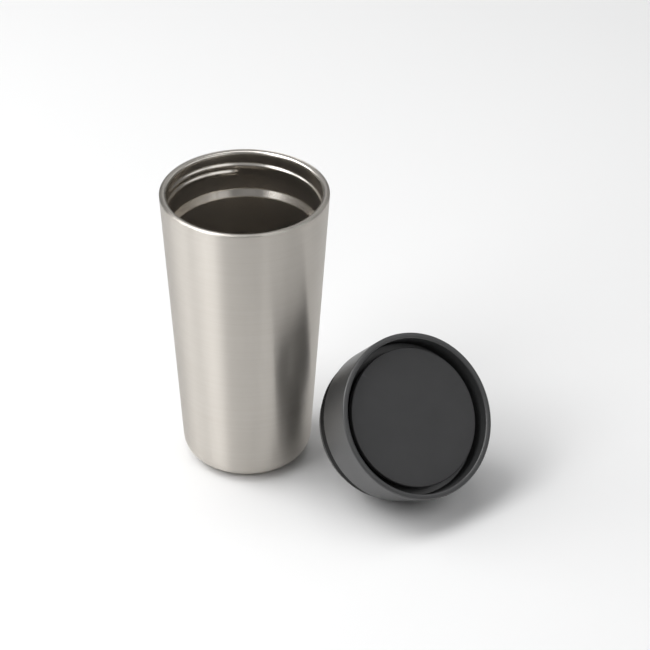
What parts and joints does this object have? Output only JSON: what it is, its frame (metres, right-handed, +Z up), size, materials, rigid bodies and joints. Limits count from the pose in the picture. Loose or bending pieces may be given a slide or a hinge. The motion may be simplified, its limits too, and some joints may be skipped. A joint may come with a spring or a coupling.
{
  "type": "insulated travel mug",
  "caption": "Double-wall steel travel mug, tapered and open, with its push-to-open dark screw lid lying tilted beside it.",
  "frame": {"origin": "centre of the mug's underside, on the surface it stands on", "axes": "+Z up along the mug's axis; -Y is the front, the side the mug is seen from; the lid lies to the front right, +X and -Y"},
  "size_m": [0.166, 0.1239, 0.153],
  "materials": {
    "brushed_steel": "fine vertical-lit satin brushing that runs round the wall",
    "liner_steel": "plain drawn stainless, semi-gloss",
    "polished_steel": "polished",
    "spring_steel": "drawn wire",
    "seal_glass": "fired glass bead",
    "getter_alloy": "dull sintered",
    "black_silicone": "matt silicone",
    "lid_plastic": "fine moulded texture, slight sheen",
    "button_plastic": "fine moulded texture, matt",
    "inner_plastic": "smooth moulded",
    "cam_plastic": "natural acetal"
  },
  "bodies": {
    "mug": {"outer_shell": "brushed_steel", "inner_liner": "liner_steel", "lip_weld": "brushed_steel", "bottom_plate": "brushed_steel", "vacuum_seal": "seal_glass", "getter_capsule": "getter_alloy", "base_pad": "black_silicone"},
    "lid_seal": {"mouth_seal": "black_silicone"},
    "lid": {"lid_shell": "lid_plastic", "thread_collar": "inner_plastic", "collar_gasket": "black_silicone", "flow_spider": "inner_plastic", "guide_sleeve": "cam_plastic", "stem_seal": "black_silicone", "return_spring": "spring_steel"},
    "button": {"button_cap": "button_plastic", "button_stem": "polished_steel", "button_seal": "black_silicone", "cam_pusher": "cam_plastic", "thrust_washer": "polished_steel", "valve_seal": "black_silicone", "valve_plate": "inner_plastic", "valve_washer": "polished_steel", "valve_screw": "polished_steel"},
    "rotor": {"cam_rotor": "cam_plastic"}
  },
  "joints": [
    {"name": "lid_lift", "type": "slide", "parent": "mug", "child": "lid_seal", "axis": [0, 0, 1], "range_m": [0, 0.16]},
    {"name": "lid_turn", "type": "hinge", "parent": "lid_seal", "child": "lid", "pos_m": [0.0863, -0.04925, 0.05225], "axis": [0.4648, -0.6398, 0.6121], "range_deg": [0, 95]},
    {"name": "button_press", "type": "slide", "parent": "lid", "child": "button", "axis": [-0.4648, 0.6398, -0.6121], "range_m": [0, 0.003], "stiffness_N_per_m": 600, "springref_m": -0.003, "deforming": ["return_spring"]},
    {"name": "cam_turn", "type": "hinge", "parent": "button", "child": "rotor", "pos_m": [0.0863, -0.04925, 0.05225], "axis": [0.4648, -0.6398, 0.6121], "range_deg": [0, 45]}
  ],
  "couplings": [
    {"joint": "cam_turn", "follows": "button_press", "rad_per_m": 261.8}
  ]
}
